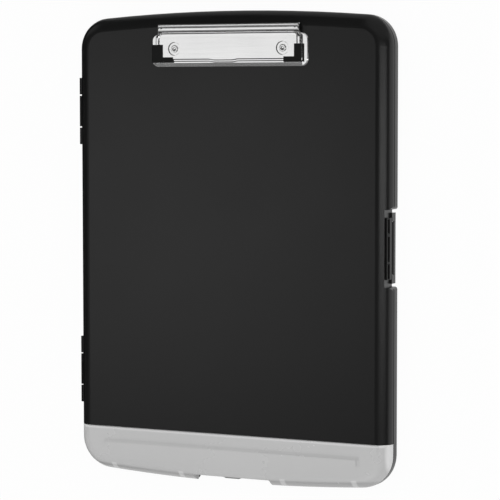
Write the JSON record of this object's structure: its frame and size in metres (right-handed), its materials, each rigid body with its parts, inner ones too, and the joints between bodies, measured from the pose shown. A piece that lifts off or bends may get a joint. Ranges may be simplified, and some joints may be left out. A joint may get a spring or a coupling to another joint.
{
  "type": "storage clipboard box",
  "caption": "Flat clipboard case: side-hinged writing cover over a paper compartment, side latch, low paper clip, and a translucent flip-up cover over a pen compartment",
  "frame": {"origin": "middle of the flat back face of the tray, which lies on the table", "axes": "+Z out of the writing surface, +Y from the pen compartment towards the clip, +X towards the side latch; the hinges are on the -X side"},
  "size_m": [0.2446, 0.3289, 0.0223],
  "materials": {
    "black_plastic": "fine-textured moulded plastic with a low sheen",
    "latch_plastic": "moulded plastic, a little smoother than the case",
    "translucent_plastic": "smoky translucent plastic with a soft sheen",
    "bright_steel": "bright nickel-plated pressed steel",
    "rivet_steel": "plated steel",
    "pin_steel": "drawn steel wire",
    "spring_steel": "spring wire",
    "black_rubber": "soft black rubber"
  },
  "bodies": {
    "tray": {"back_tray": "black_plastic", "upper_hinge_pin": "pin_steel", "lower_hinge_pin": "pin_steel", "latch_pin": "pin_steel"},
    "cover": {"front_cover": "black_plastic", "clip_base_plate": "bright_steel", "left_clip_rivet": "rivet_steel", "right_clip_rivet": "rivet_steel", "left_rivet_washer": "rivet_steel", "right_rivet_washer": "rivet_steel", "clip_pivot_rod": "pin_steel", "left_clip_spring": "spring_steel", "right_clip_spring": "spring_steel"},
    "clip": {"clip_lever": "bright_steel", "left_rubber_tip": "black_rubber", "right_rubber_tip": "black_rubber"},
    "latch": {"side_latch": "latch_plastic"},
    "pen_lid": {"pen_cover": "translucent_plastic", "left_pen_cover_pin": "pin_steel", "right_pen_cover_pin": "pin_steel"}
  },
  "joints": [
    {"name": "cover_hinge", "type": "hinge", "parent": "tray", "child": "cover", "pos_m": [-0.1216, 0, 0.007], "axis": [0, -1, 0], "range_deg": [0, 160]},
    {"name": "clip_pivot", "type": "hinge", "parent": "cover", "child": "clip", "pos_m": [0, 0.1492, 0.0202], "axis": [-1, 0, 0], "range_deg": [0, 20], "stiffness_Nm_per_rad": 0.25, "springref_deg": -17.19},
    {"name": "latch_hinge", "type": "hinge", "parent": "tray", "child": "latch", "pos_m": [0.1173, 0, 0.005], "axis": [0, 1, 0], "range_deg": [0, 90]},
    {"name": "pen_cover_hinge", "type": "hinge", "parent": "tray", "child": "pen_lid", "pos_m": [0, -0.13148, 0.0162], "axis": [-1, 0, 0], "range_deg": [0, 95]}
  ]
}
